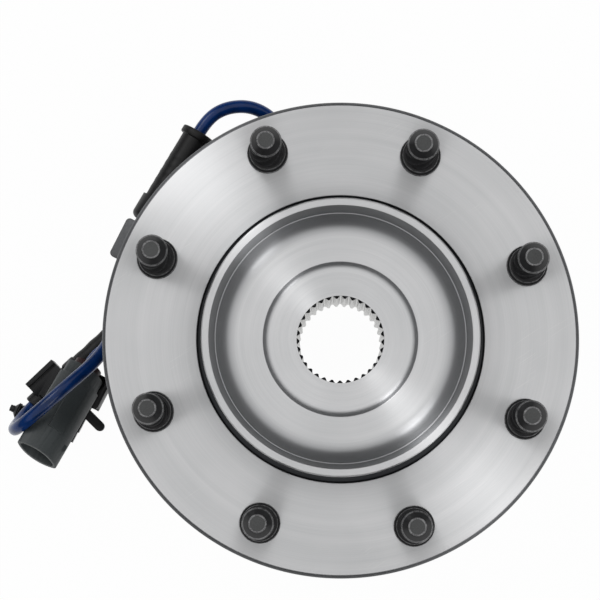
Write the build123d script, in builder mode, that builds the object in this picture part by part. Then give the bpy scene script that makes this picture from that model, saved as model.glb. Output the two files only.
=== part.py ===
from build123d import *
from math import asin, cos, pi, radians, sin, tan
import os

# Front wheel hub bearing unit for a heavy pickup: a splined, eight-stud wheel hub
# turning in a double-row tapered roller bearing, with a speed sensor and its lead.
# Millimetres. +Z is the bearing axis towards the wheel, z = 0 is the wheel face.

# wheel flange
flange_edge_margin = 17.2
flange_thickness = 13.5
flange_chamfer = 1.4
shoulder_r = 47.0
shoulder_chamfer = 3.0

# pilot ring for the wheel and brake disc, and the dish inside it
pilot_r = 62.05
pilot_height = 15.1
pilot_chamfer = 0.5
pilot_lip_width = 3.35
pilot_groove_width = 1.95
pilot_groove_depth = 1.2
groove_chamfer = 0.9
dish_break_r = 56.1
dish_break_z = 5.6
dish_floor_r = 51.4
dish_floor_z = -1.08
dish_step_r = 35.0
dish_step_z = -2.27
dish_centre_r = 31.7
dish_centre_z = -4.5

# splined bore for the axle shaft
spline_minor_r = 18.5
spline_depth = 1.26
spline_teeth = 33
spline_gap_share = 0.5
spline_phase = 3.3
spline_length = 51.5
rear_bore_r = 22.0

# wheel studs, M14
stud_count = 8
stud_circle_r = 90.0
flange_r = stud_circle_r + flange_edge_margin
stud_first_angle = 22.5
stud_head_r = 11.0
stud_head_height = 5.0
stud_knurl_r = 7.9
stud_hole_clearance = 0.02
stud_collar_r = 9.2
stud_collar_height = 2.0
stud_seat_clearance = 0.3
stud_seat_depth = 0.5
stud_shoulder_r = 8.2
stud_shoulder_top = 6.0
stud_thread_r = 7.0
stud_thread_top = 40.0
stud_cone_r = 6.6
stud_tip_r = 3.9
stud_length = 45.0

# bearing: two rows of tapered rollers set back to back about the middle plane
bearing_z = -51.0
spindle_r = 29.0
seal_land_r = 44.0
ring_inner_face = 3.0
outboard_ring_face = 25.0
inboard_ring_face = 31.0
spindle_lip_r = 36.0
spindle_lip_height = 4.0
lip_chamfer = 2.0
lip_bore_chamfer = 1.0
roller_count = 18
roller_mean_r = 5.25
roller_length = 15.0
roller_angle = 14.0
row_pitch_r = 44.0
row_offset = 14.0
race_clearance = 0.03
rib_clearance = 0.15
small_rib_height = 1.2
cage_thickness = 1.2
cage_overhang = 2.0
cage_foot = 2.2
pocket_clearance = 0.2

# speed ring on the spindle between the inner rings
tone_teeth = 48
tone_r = 42.5
tone_tooth_height = 2.4
tone_gap_share = 0.45

# bearing housing, bolted to the steering knuckle
seal_bore_r = 54.0
housing_wall = 10.0
housing_r = seal_bore_r + housing_wall
housing_front_z = -18.0
housing_chamfer = 1.5
seal_bore_depth = 8.5
cup_margin = 2.5
cup_chamfer = 0.8
middle_land_r = 46.2
middle_land_half = 4.6
knuckle_flange_overhang = 6.0
knuckle_flange_half = housing_r + knuckle_flange_overhang
knuckle_flange_corner_r = 17.0
knuckle_flange_front_z = -61.0
knuckle_face_z = -76.0
knuckle_bolt_margin = 11.0
knuckle_bolt_r = housing_r + knuckle_bolt_margin
knuckle_bolt_hole_r = 6.0
knuckle_pilot_step = 4.0
knuckle_pilot_r = housing_r - knuckle_pilot_step
floor_z = -88.0
pilot_end_chamfer = 1.5

# seals: a pressed case in the housing, a rubber lip, and a slinger on the land
case_wall = 1.0
case_length = 6.0
case_set_back = 1.6
case_web_height = 4.5
case_inner_r = seal_bore_r - case_web_height
lip_thickness = 2.6
lip_running_clearance = 0.15
lip_edge_width = 1.0
lip_body_width = 2.2
lip_body_depth = 0.6
axial_lip_root = 0.8
axial_lip_wall = 1.0
axial_lip_reach = 2.0
axial_lip_tip = 0.6
slinger_wall = 0.8
slinger_length = 5.2
slinger_gap = 0.4
slinger_r = seal_bore_r - case_wall - slinger_gap
slinger_set_back = 1.5

# wheel speed sensor, standing radially in the housing between the rows
sensor_azimuth = 145.6
sensor_stem_r = 4.3
sensor_bore_clearance = 0.1
sensor_air_gap = 0.8
sensor_boss_r = 6.4
sensor_boss_rise = 3.0
sensor_boss_top = housing_r + sensor_boss_rise
sensor_boss_thickness = 9.0
sensor_ear_offset = 15.5
sensor_ear_r = 6.0
sensor_ear_thickness = 4.0
sensor_neck_width = 9.0
sensor_neck_height = 13.0
sensor_neck_fillet = 2.5
o_ring_section_r = 0.85
o_ring_set_back = 5.0
o_ring_station = housing_r - o_ring_set_back
screw_shank_r = 2.5
screw_head_r = 4.3
screw_head_height = 5.0
screw_socket_r = 2.4
screw_socket_depth = 3.0
screw_grip = 9.0
screw_clearance = 0.3
tapped_clearance = 0.02
tapped_spare_depth = 2.0

# lead exit: head of the sensor and its rubber boot on one line
lead_z = -50.0
lead_exit = (-68.1, 98.9)
boot_heading = 240.4
boot_r = 6.3
boot_length = 37.5
boot_collar_r = 8.0
boot_collar_length = 3.5
boot_rib_r = 7.0
boot_rib_start = 3.0
boot_rib_pitch = 4.5
boot_rib_count = 5
head_r = 7.8
head_length = 12.0
head_fillet = 3.0

# steel bracket under the head of the sensor
bracket_azimuth = 154.5
bracket_thickness = 3.0
bracket_width = 20.0
bracket_foot_r = 7.5
bracket_screw_margin = 6.5
bracket_screw_station = housing_r + bracket_screw_margin
bracket_end_station = 117.0
bracket_corner_r = 2.0
bracket_clearance = 0.4

# lead, laid on the floor behind the flange and folded back at the connector
lead_r = 3.1
corner_share = 0.45
lead_first_run = 7.7
lead_last_run = 7.8

# sleeve and clip on the lead
sleeve_r = 4.3
sleeve_end_r = 5.0
sleeve_bore_clearance = 0.35
sleeve_start = 3.2
sleeve_length = 49.8
sleeve_nose_length = 5.5
sleeve_collar_length = 7.0
sleeve_collar_gap = 1.0
clip_length = 17.0
clip_width = 15.0
clip_height = 14.0
clip_station = 16.4
clip_shift = 2.2
clip_bore_clearance = 0.2
clip_rail_width = 2.2
clip_rail_height = 1.4
clip_groove_width = 1.0
clip_groove_depth = 0.5

# two-way connector shell and what it carries
connector_rear = (-120.4, -13.7, -69.8)
connector_heading = -116.1
connector_tilt = 26.7
connector_roll = 20.0
connector_length = 50.1
shell_half_width = 9.4
shell_half_height = 6.1
shell_end_fillet = 2.2
shell_wall = 1.5
shell_collar_length = 7.0
shell_collar_step = 0.9
shell_mouth_depth = 24.0
panel_width = 7.5
panel_rise = 0.5
panel_depth = 3.0
panel_start = 10.0
panel_length = 27.0
band_height = 3.4
band_width = 4.0
band_place = 0.62
band_drop = 0.1
nib_station = 39.0
nib_length = 3.4
nib_width = 3.4
nib_height = 2.6
nib_place = 0.86
nib_lift = 0.35
seal_length = 3.4
seal_half_width = 7.0
seal_half_height = 4.5
seal_bore_clearance = 0.12
blade_width = 2.8
blade_thickness = 0.8
blade_length = 13.0
blade_spread = 3.6

# mounting clip that the connector sits on
mount_plate_width = 17.0
mount_plate_length = 11.0
mount_plate_station = 27.5
mount_plate_thickness = 4.0
cradle_inner = 1.0
cradle_outer = 12.6
cradle_front = -2.0
cradle_back = 14.0
cradle_height = 15.0
cradle_clearance = 0.25
cradle_fillet = 2.0
arm_width = 8.0
tongue_width = 4.6
tongue_length = 13.6
tongue_root = (3.6, -16.0)
tongue_turn = -17.6
pin_tip = (-157.3, -30.9)
pin_turn = -21.3
pin_shaft_r = 2.0
pin_ball_r = 1.6
pin_rib_r = 4.0
pin_rib_pitch = 2.0
pin_rib_count = 4
pin_rib_taper = 0.35
pin_ball_length = 2.2
pin_length = 20.5

os.makedirs("parts", exist_ok=True)


def in_row(along, across, side):
    # (r, z) of a roller row: along the roller axis from its apex, and across it
    turn = radians(roller_angle)
    offset = apex_offset + along * cos(turn) - across * sin(turn)
    radius = along * sin(turn) + across * cos(turn)
    return (radius, bearing_z + side * offset)


def race_point(along, side, wall):
    # raceway point: wall is 1 for the outer ring and -1 for the inner ring
    return in_row(along, wall * (along * tan(roller_half_angle) + race_clearance), side)


def revolved(points):
    # solid of revolution about Z from a closed outline of (r, z) points
    with BuildPart() as turned:
        with BuildSketch(Plane.XZ):
            with BuildLine():
                Polyline(*points, close=True)
            make_face()
        revolve(axis=Axis.Z)
    return turned.part


# the rollers' axes, and both races of a row, meet at one apex on the bearing axis
apex_distance = row_pitch_r / sin(radians(roller_angle))
apex_offset = row_offset - row_pitch_r / tan(radians(roller_angle))
roller_half_angle = asin(roller_mean_r / apex_distance)
roller_start = apex_distance - roller_length / 2
roller_end = apex_distance + roller_length / 2
roller_small_r = roller_start * tan(roller_half_angle)
roller_large_r = roller_end * tan(roller_half_angle)
race_start = roller_start - rib_clearance
race_end = roller_end + rib_clearance
hub_shoulder_z = bearing_z + outboard_ring_face
spindle_end_z = bearing_z - inboard_ring_face
knurl_hole_r = stud_knurl_r + stud_hole_clearance

# wheel hub: turned flange, pilot ring, dished centre, spindle and splined bore
with BuildPart() as wheel_hub:
    with BuildSketch(Plane.XZ):
        with BuildLine():
            groove_out = pilot_r + pilot_groove_width
            lip_in = pilot_r - pilot_lip_width
            lip_end_z = spindle_end_z - spindle_lip_height
            spline_end_z = dish_centre_z - spline_length
            Polyline(
                (spline_minor_r, dish_centre_z),
                (dish_centre_r, dish_centre_z),
                (dish_step_r - 0.6, dish_step_z - 0.43),
                (dish_step_r, dish_step_z),
                (dish_floor_r, dish_floor_z),
                (dish_break_r, dish_break_z),
                (lip_in, pilot_height),
                (pilot_r - pilot_chamfer, pilot_height),
                (pilot_r, pilot_height - pilot_chamfer),
                (pilot_r, -pilot_groove_depth),
                (groove_out, -pilot_groove_depth),
                (groove_out + groove_chamfer, 0),
                (flange_r - flange_chamfer, 0),
                (flange_r, -flange_chamfer),
                (flange_r, -flange_thickness + flange_chamfer),
                (flange_r - flange_chamfer, -flange_thickness),
                (shoulder_r, -flange_thickness),
                (seal_land_r, -flange_thickness - shoulder_chamfer),
                (seal_land_r, hub_shoulder_z),
                (spindle_r, hub_shoulder_z),
                (spindle_r, spindle_end_z),
                (spindle_lip_r, spindle_end_z),
                (spindle_lip_r, lip_end_z + lip_chamfer),
                (spindle_lip_r - lip_chamfer, lip_end_z),
                (rear_bore_r + lip_bore_chamfer, lip_end_z),
                (rear_bore_r, lip_end_z + lip_bore_chamfer),
                (rear_bore_r, spline_end_z),
                (spline_minor_r, spline_end_z),
                close=True,
            )
        make_face()
    revolve(axis=Axis.Z)
    # spline gaps
    spline_mean_r = spline_minor_r + spline_depth / 2
    gap_width = 2 * pi * spline_mean_r / spline_teeth * spline_gap_share
    with BuildSketch(Plane.XY.offset(dish_centre_z)):
        with PolarLocations(0, spline_teeth, start_angle=spline_phase):
            with Locations((spline_minor_r + spline_depth / 2 - 0.5, 0)):
                Rectangle(spline_depth + 1.0, gap_width)
    extrude(amount=-spline_length, mode=Mode.SUBTRACT)
    # stud holes with a shallow seat for each stud's collar
    with BuildSketch(Plane.XY):
        with PolarLocations(stud_circle_r, stud_count, start_angle=stud_first_angle):
            Circle(knurl_hole_r)
    extrude(amount=-flange_thickness, mode=Mode.SUBTRACT)
    with BuildSketch(Plane.XY):
        with PolarLocations(stud_circle_r, stud_count, start_angle=stud_first_angle):
            Circle(stud_collar_r + stud_seat_clearance)
    extrude(amount=-stud_seat_depth, mode=Mode.SUBTRACT)
wheel_hub.part.label = "wheel_hub"
export_step(wheel_hub.part, "parts/wheel_hub.step")

# wheel studs, pressed in from behind
with BuildPart() as wheel_studs:
    with BuildSketch(Plane.XZ) as stud_outline:
        with BuildLine():
            Polyline(
                (0, -flange_thickness - stud_head_height),
                (stud_head_r, -flange_thickness - stud_head_height),
                (stud_head_r, -flange_thickness),
                (stud_knurl_r, -flange_thickness),
                (stud_knurl_r, -stud_seat_depth),
                (stud_collar_r, -stud_seat_depth),
                (stud_collar_r, stud_collar_height),
                (stud_shoulder_r, stud_collar_height),
                (stud_shoulder_r, stud_shoulder_top),
                (stud_thread_r, stud_shoulder_top),
                (stud_thread_r, stud_thread_top),
                (stud_cone_r, stud_thread_top),
                (stud_tip_r, stud_length),
                (0, stud_length),
                close=True,
            )
        make_face()
    one_stud = revolve(axis=Axis.Z, mode=Mode.PRIVATE)
    with PolarLocations(stud_circle_r, stud_count, start_angle=stud_first_angle):
        add(one_stud)
wheel_studs.part.label = "wheel_studs"
export_step(wheel_studs.part, "parts/wheel_studs.step")


def inner_ring_outline(side, face_offset):
    # bore, small rib, raceway, large rib and outer face
    turn = radians(roller_angle)
    rib_across = (seal_land_r - race_end * sin(turn)) / cos(turn)
    small_rib = in_row(race_start, small_rib_height - roller_small_r, side)
    return [
        (spindle_r, bearing_z + side * ring_inner_face),
        (small_rib[0], bearing_z + side * ring_inner_face),
        small_rib,
        race_point(race_start, side, -1),
        race_point(race_end, side, -1),
        in_row(race_end, rib_across, side),
        (seal_land_r, bearing_z + side * face_offset),
        (spindle_r, bearing_z + side * face_offset),
    ]


# inner rings, one against the hub's shoulder and one held by the rolled lip
with BuildPart() as outboard_inner_ring:
    add(revolved(inner_ring_outline(1, outboard_ring_face)))
outboard_inner_ring.part.label = "outboard_inner_ring"
export_step(outboard_inner_ring.part, "parts/outboard_inner_ring.step")

with BuildPart() as inboard_inner_ring:
    add(revolved(inner_ring_outline(-1, inboard_ring_face)))
inboard_inner_ring.part.label = "inboard_inner_ring"
export_step(inboard_inner_ring.part, "parts/inboard_inner_ring.step")

# toothed speed ring between the two inner rings
tone_gap = 2 * pi * tone_r / tone_teeth * tone_gap_share

with BuildPart() as tone_ring:
    with BuildSketch(Plane.XY.offset(bearing_z - ring_inner_face)):
        Circle(tone_r)
        Circle(spindle_r, mode=Mode.SUBTRACT)
        with PolarLocations(tone_r, tone_teeth):
            Rectangle(2 * tone_tooth_height, tone_gap, mode=Mode.SUBTRACT)
    extrude(amount=2 * ring_inner_face)
tone_ring.part.label = "tone_ring"
export_step(tone_ring.part, "parts/tone_ring.step")

# tapered rollers of the outboard row, and the inboard row as their mirror image
middle_plane = Plane.XY.offset(bearing_z)
row_plane = Plane(
    origin=(row_pitch_r, 0, bearing_z + row_offset),
    x_dir=(0, 1, 0),
    z_dir=(sin(radians(roller_angle)), 0, cos(radians(roller_angle))),
)

with BuildPart() as outboard_rollers:
    with BuildSketch(row_plane.offset(-roller_length / 2)):
        Circle(roller_small_r)
    with BuildSketch(row_plane.offset(roller_length / 2)):
        Circle(roller_large_r)
    one_roller = loft(mode=Mode.PRIVATE)
    with PolarLocations(0, roller_count):
        add(one_roller)
outboard_rollers.part.label = "outboard_rollers"
export_step(outboard_rollers.part, "parts/outboard_rollers.step")

with BuildPart() as inboard_rollers:
    mirror(outboard_rollers.part, about=middle_plane)
inboard_rollers.part.label = "inboard_rollers"
export_step(inboard_rollers.part, "parts/inboard_rollers.step")

# pressed steel cages: a conical shell with one tapered window for each roller
with BuildPart() as outboard_cage:
    cage_small = roller_start - cage_overhang
    cage_large = roller_end + cage_overhang
    with BuildSketch(Plane.XZ):
        with BuildLine():
            Polyline(
                in_row(cage_small, 0, 1),
                in_row(cage_small, -cage_foot, 1),
                in_row(cage_small - cage_thickness, -cage_foot, 1),
                in_row(cage_small - cage_thickness, cage_thickness, 1),
                in_row(cage_large, cage_thickness, 1),
                in_row(cage_large, 0, 1),
                close=True,
            )
        make_face()
    revolve(axis=Axis.Z)
    pocket_plane = Plane(
        origin=(row_pitch_r, 0, bearing_z + row_offset),
        x_dir=(0, 1, 0),
        z_dir=(cos(radians(roller_angle)), 0, -sin(radians(roller_angle))),
    )
    with BuildSketch(pocket_plane):
        with BuildLine():
            half = roller_length / 2 + pocket_clearance
            small_half = roller_small_r + pocket_clearance
            large_half = roller_large_r + pocket_clearance
            Polyline(
                (-large_half, half),
                (large_half, half),
                (small_half, -half),
                (-small_half, -half),
                close=True,
            )
        make_face()
    one_window = extrude(amount=cage_foot, both=True, mode=Mode.PRIVATE)
    with PolarLocations(0, roller_count):
        add(one_window, mode=Mode.SUBTRACT)
outboard_cage.part.label = "outboard_cage"
export_step(outboard_cage.part, "parts/outboard_cage.step")

with BuildPart() as inboard_cage:
    mirror(outboard_cage.part, about=middle_plane)
inboard_cage.part.label = "inboard_cage"
export_step(inboard_cage.part, "parts/inboard_cage.step")

# local frame of the sensor: z runs outwards along the stem, x along the bearing axis
sensor_out = (cos(radians(sensor_azimuth)), sin(radians(sensor_azimuth)), 0)
sensor_plane = Plane(origin=(0, 0, bearing_z), x_dir=(0, 0, 1), z_dir=sensor_out)
sensor_bore_r = sensor_stem_r + sensor_bore_clearance
seal_mirror_z = 2 * bearing_z - housing_front_z
tapped_r = screw_shank_r + tapped_clearance
screw_hole_depth = screw_grip + tapped_spare_depth
bracket_plane = Plane(
    origin=(0, 0, knuckle_flange_front_z),
    x_dir=(cos(radians(bracket_azimuth)), sin(radians(bracket_azimuth)), 0),
    z_dir=(0, 0, 1),
)

# bearing housing: double outer race, knuckle flange, rear pilot and sensor boss
def cup_outline(side, end_z):
    # bore of one half of the housing, from its end face to the middle land
    seat_offset = housing_front_z - seal_bore_depth - bearing_z
    race_mouth = race_point(race_end + cup_margin, side, 1)
    seat_z = bearing_z + side * seat_offset
    return [
        (seal_bore_r, end_z),
        (seal_bore_r, seat_z),
        (race_mouth[0] + cup_chamfer, seat_z),
        race_mouth,
        race_point(race_start - rib_clearance, side, 1),
        (middle_land_r, bearing_z + side * middle_land_half),
    ]


with BuildPart() as bearing_housing:
    with BuildSketch(Plane.XZ):
        with BuildLine():
            Polyline(
                *cup_outline(1, housing_front_z),
                *cup_outline(-1, floor_z)[::-1],
                (knuckle_pilot_r - pilot_end_chamfer, floor_z),
                (knuckle_pilot_r, floor_z + pilot_end_chamfer),
                (knuckle_pilot_r, knuckle_face_z),
                (housing_r, knuckle_face_z),
                (housing_r, housing_front_z - housing_chamfer),
                (housing_r - housing_chamfer, housing_front_z),
                close=True,
            )
        make_face()
    revolve(axis=Axis.Z)
    # knuckle flange
    with BuildSketch(Plane.XY.offset(knuckle_face_z)):
        side_length = 2 * knuckle_flange_half
        RectangleRounded(side_length, side_length, knuckle_flange_corner_r)
        Circle(housing_r - 1.0, mode=Mode.SUBTRACT)
    extrude(amount=knuckle_flange_front_z - knuckle_face_z)
    with BuildSketch(Plane.XY.offset(knuckle_face_z)):
        with PolarLocations(knuckle_bolt_r, 4, start_angle=45):
            Circle(knuckle_bolt_hole_r)
    extrude(amount=knuckle_flange_front_z - knuckle_face_z, mode=Mode.SUBTRACT)
    # sensor boss with its screw pad, and the bore and tapped hole through it
    with BuildSketch(sensor_plane.offset(sensor_boss_top)):
        Circle(sensor_boss_r)
        with Locations((0, sensor_ear_offset)):
            Circle(sensor_ear_r)
        with Locations((0, sensor_ear_offset / 2)):
            Rectangle(2 * sensor_ear_r, sensor_ear_offset)
    extrude(amount=-sensor_boss_thickness)
    with BuildSketch(sensor_plane):
        Circle(sensor_bore_r)
    extrude(amount=sensor_boss_top, mode=Mode.SUBTRACT)
    with BuildSketch(sensor_plane.offset(sensor_boss_top)):
        with Locations((0, sensor_ear_offset)):
            Circle(tapped_r)
    extrude(amount=-screw_hole_depth, mode=Mode.SUBTRACT)
    with BuildSketch(bracket_plane):
        with Locations((bracket_screw_station, 0)):
            Circle(tapped_r)
    extrude(amount=-screw_hole_depth, mode=Mode.SUBTRACT)
bearing_housing.part.label = "bearing_housing"
export_step(bearing_housing.part, "parts/bearing_housing.step")

# seals: case pressed into the housing, lip bonded to its web, slinger on the land
def seal_parts(side, end_z):
    # outlines of a case, a lip and a slinger, from the housing's end face inwards
    def at(radius, depth):
        return (radius, end_z - side * depth)

    case_start = case_set_back + slinger_wall
    web = case_start + case_length
    lip_top = web - case_wall
    land = seal_land_r + slinger_wall
    case = [
        at(seal_bore_r, case_start),
        at(seal_bore_r, web),
        at(case_inner_r, web),
        at(case_inner_r, lip_top),
        at(seal_bore_r - case_wall, lip_top),
        at(seal_bore_r - case_wall, case_start),
    ]
    lip = [
        at(case_inner_r, web),
        at(land + lip_running_clearance, web),
        at(land + lip_running_clearance, lip_top - lip_thickness),
        at(land + lip_edge_width, lip_top - lip_thickness),
        at(land + lip_body_width, lip_top - lip_body_depth),
        at(case_inner_r + axial_lip_root, lip_top - lip_body_depth),
        at(case_inner_r + axial_lip_reach, case_set_back + slinger_wall + lip_running_clearance),
        at(case_inner_r + axial_lip_reach + axial_lip_tip, case_set_back + slinger_wall + lip_running_clearance),
        at(case_inner_r + axial_lip_root + axial_lip_wall, lip_top),
        at(case_inner_r, lip_top),
    ]
    slinger = [
        at(seal_land_r, case_set_back),
        at(seal_land_r, case_set_back + slinger_length),
        at(land, case_set_back + slinger_length),
        at(land, case_set_back + slinger_wall),
        at(slinger_r, case_set_back + slinger_wall),
        at(slinger_r, case_set_back),
    ]
    return case, lip, slinger


outboard_case, outboard_lip, outboard_sling = seal_parts(1, housing_front_z)
inboard_case, inboard_lip, inboard_sling = seal_parts(-1, seal_mirror_z)

with BuildPart() as outboard_seal_case:
    add(revolved(outboard_case))
outboard_seal_case.part.label = "outboard_seal_case"
export_step(outboard_seal_case.part, "parts/outboard_seal_case.step")

with BuildPart() as outboard_seal_lip:
    add(revolved(outboard_lip))
outboard_seal_lip.part.label = "outboard_seal_lip"
export_step(outboard_seal_lip.part, "parts/outboard_seal_lip.step")

with BuildPart() as outboard_slinger:
    add(revolved(outboard_sling))
outboard_slinger.part.label = "outboard_slinger"
export_step(outboard_slinger.part, "parts/outboard_slinger.step")

with BuildPart() as inboard_seal_case:
    add(revolved(inboard_case))
inboard_seal_case.part.label = "inboard_seal_case"
export_step(inboard_seal_case.part, "parts/inboard_seal_case.step")

with BuildPart() as inboard_seal_lip:
    add(revolved(inboard_lip))
inboard_seal_lip.part.label = "inboard_seal_lip"
export_step(inboard_seal_lip.part, "parts/inboard_seal_lip.step")

with BuildPart() as inboard_slinger:
    add(revolved(inboard_sling))
inboard_slinger.part.label = "inboard_slinger"
export_step(inboard_slinger.part, "parts/inboard_slinger.step")

# speed sensor: stem, ear, neck, and the round head that the boot grows out of
boot_axis = (cos(radians(boot_heading)), sin(radians(boot_heading)), 0)
boot_plane = Plane(origin=(lead_exit[0], lead_exit[1], lead_z), x_dir=(0, 0, 1), z_dir=boot_axis)
head_centre = boot_length + head_length / 2
head_point = boot_plane.from_local_coords(Vector(0, 0, head_centre))
neck_station = head_point.X * sensor_out[0] + head_point.Y * sensor_out[1]
ear_top = sensor_boss_top + sensor_ear_thickness
o_ring_r = sensor_bore_r - o_ring_section_r
with BuildPart() as sensor_body:
    with BuildSketch(boot_plane.offset(boot_length)):
        Circle(head_r)
    extrude(amount=head_length)
    head_end = faces().sort_by(Axis(boot_plane.origin, boot_axis))[-1]
    fillet(head_end.edges(), radius=head_fillet)
    with BuildSketch(sensor_plane.offset(tone_r + sensor_air_gap)):
        Circle(sensor_stem_r)
    extrude(amount=sensor_boss_top - tone_r - sensor_air_gap)
    with BuildSketch(sensor_plane.offset(sensor_boss_top)):
        Circle(sensor_boss_r)
        with Locations((0, sensor_ear_offset)):
            Circle(sensor_ear_r)
        with Locations((0, sensor_ear_offset / 2)):
            Rectangle(2 * sensor_ear_r, sensor_ear_offset)
        with Locations((0, sensor_ear_offset)):
            Circle(screw_shank_r + screw_clearance, mode=Mode.SUBTRACT)
    extrude(amount=sensor_ear_thickness)
    with BuildSketch(sensor_plane.offset(ear_top)):
        RectangleRounded(sensor_neck_height, sensor_neck_width, sensor_neck_fillet)
    extrude(amount=neck_station - ear_top)
    with BuildSketch(sensor_plane.offset(o_ring_station - o_ring_section_r)):
        Circle(sensor_bore_r)
        Circle(o_ring_r - o_ring_section_r, mode=Mode.SUBTRACT)
    extrude(amount=2 * o_ring_section_r, mode=Mode.SUBTRACT)
sensor_body.part.label = "sensor_body"
export_step(sensor_body.part, "parts/sensor_body.step")

with BuildPart() as sensor_o_ring:
    with BuildSketch(sensor_plane.offset(o_ring_station - o_ring_section_r)):
        Circle(sensor_bore_r)
        Circle(o_ring_r - o_ring_section_r, mode=Mode.SUBTRACT)
    extrude(amount=2 * o_ring_section_r)
sensor_o_ring.part.label = "sensor_o_ring"
export_step(sensor_o_ring.part, "parts/sensor_o_ring.step")

# ribbed rubber boot with a collar where the lead leaves it
with BuildPart() as sensor_boot:
    with BuildSketch(boot_plane):
        Circle(boot_collar_r)
    extrude(amount=boot_collar_length)
    with BuildSketch(boot_plane.offset(boot_collar_length)):
        Circle(boot_r)
    extrude(amount=boot_length - boot_collar_length)
    for rib in range(boot_rib_count):
        rib_station = boot_length - boot_rib_start - rib * boot_rib_pitch
        with BuildSketch(boot_plane.offset(rib_station)):
            Circle(boot_rib_r)
        extrude(amount=-boot_rib_pitch / 2)
sensor_boot.part.label = "sensor_boot"
export_step(sensor_boot.part, "parts/sensor_boot.step")


def socket_screw(plane):
    # cap screw with a hexagon socket: the seat of its head lies on the plane
    with BuildPart() as screw:
        with BuildSketch(plane):
            Circle(screw_head_r)
        extrude(amount=screw_head_height)
        with BuildSketch(plane.offset(screw_head_height)):
            RegularPolygon(screw_socket_r, 6)
        extrude(amount=-screw_socket_depth, mode=Mode.SUBTRACT)
        with BuildSketch(plane):
            Circle(screw_shank_r)
        extrude(amount=-screw_grip)
    return screw.part


ear_seat = sensor_plane.offset(ear_top)
ear_seat = ear_seat.shift_origin(ear_seat.from_local_coords(Vector(0, sensor_ear_offset, 0)))
with BuildPart() as sensor_screw:
    add(socket_screw(ear_seat))
sensor_screw.part.label = "sensor_screw"
export_step(sensor_screw.part, "parts/sensor_screw.step")

# bracket from the knuckle flange out to the head of the sensor
bracket_top = bracket_plane.offset(bracket_thickness)
with BuildPart() as cable_bracket:
    with BuildSketch(bracket_plane):
        bracket_reach = bracket_end_station - bracket_screw_station
        with Locations((bracket_end_station - bracket_reach / 4, 0)):
            RectangleRounded(bracket_reach / 2, bracket_width, bracket_corner_r)
        with Locations((bracket_screw_station + bracket_reach / 2, 0)):
            Rectangle(bracket_reach, 2 * bracket_foot_r)
        with Locations((bracket_screw_station, 0)):
            Circle(bracket_foot_r)
            Circle(screw_shank_r + screw_clearance, mode=Mode.SUBTRACT)
        Circle(housing_r + bracket_clearance, mode=Mode.SUBTRACT)
    extrude(amount=bracket_thickness)
cable_bracket.part.label = "cable_bracket"
export_step(cable_bracket.part, "parts/cable_bracket.step")

bracket_seat = bracket_top.shift_origin(bracket_top.from_local_coords(Vector(bracket_screw_station, 0, 0)))
with BuildPart() as bracket_screw:
    add(socket_screw(bracket_seat))
bracket_screw.part.label = "bracket_screw"
export_step(bracket_screw.part, "parts/bracket_screw.step")

# connector frame: z runs from its rear to its mouth, x along its width
heading = radians(connector_heading)
tilt = radians(connector_tilt)
connector_axis = Vector(cos(tilt) * cos(heading), cos(tilt) * sin(heading), sin(tilt))
connector_side = Vector(-sin(heading), cos(heading), 0)
roll = radians(connector_roll)
connector_width_axis = connector_side * cos(roll) - connector_axis.cross(connector_side) * sin(roll)
connector_plane = Plane(origin=connector_rear, x_dir=connector_width_axis, z_dir=connector_axis)


def shell_outline(plane, inset):
    # lens-shaped section of the connector shell, smaller all round by the inset
    with BuildSketch(plane) as lens:
        with BuildLine():
            half_width = shell_half_width + shell_end_fillet - inset
            half_height = shell_half_height - inset
            upper = ThreePointArc((-half_width, 0), (0, half_height), (half_width, 0))
            ThreePointArc(upper @ 1, (0, -half_height), upper @ 0)
        make_face()
        fillet(lens.vertices(), shell_end_fillet)
    return lens.sketch


with BuildPart() as connector_housing:
    collar_end = connector_plane.offset(shell_collar_length)
    mouth_plane = connector_plane.offset(connector_length)
    extrude(shell_outline(connector_plane, shell_collar_step), amount=shell_collar_length)
    extrude(shell_outline(collar_end, 0), amount=connector_length - shell_collar_length)
    # raised panel on the top and a flat band along the right flank
    with BuildSketch(connector_plane.offset(panel_start)):
        with Locations((0, shell_half_height + panel_rise - panel_depth / 2)):
            Rectangle(panel_width, panel_depth)
        with Locations((shell_half_width * band_place, shell_half_height * band_drop)):
            Rectangle(band_width, band_height)
    extrude(amount=panel_length)
    # latch nib near the mouth
    with BuildSketch(connector_plane.offset(nib_station)):
        with Locations((shell_half_width * nib_place, shell_half_height * nib_lift)):
            Rectangle(nib_width, nib_height)
    extrude(amount=nib_length)
    # open mouth
    extrude(shell_outline(mouth_plane, shell_wall), amount=-shell_mouth_depth, mode=Mode.SUBTRACT)
connector_housing.part.label = "connector_housing"
export_step(connector_housing.part, "parts/connector_housing.step")

# seal at the rear, with the lead through it
with BuildPart() as connector_seal:
    with BuildSketch(connector_plane):
        Ellipse(seal_half_width, seal_half_height)
        Circle(lead_r + seal_bore_clearance, mode=Mode.SUBTRACT)
    extrude(amount=-seal_length)
connector_seal.part.label = "connector_seal"
export_step(connector_seal.part, "parts/connector_seal.step")

# two blades standing on the floor of the mouth
with BuildPart() as connector_terminals:
    with BuildSketch(connector_plane.offset(connector_length - shell_mouth_depth)):
        with Locations((-blade_spread, 0), (blade_spread, 0)):
            Rectangle(blade_width, blade_thickness)
    extrude(amount=blade_length)
connector_terminals.part.label = "connector_terminals"
export_step(connector_terminals.part, "parts/connector_terminals.step")

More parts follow.
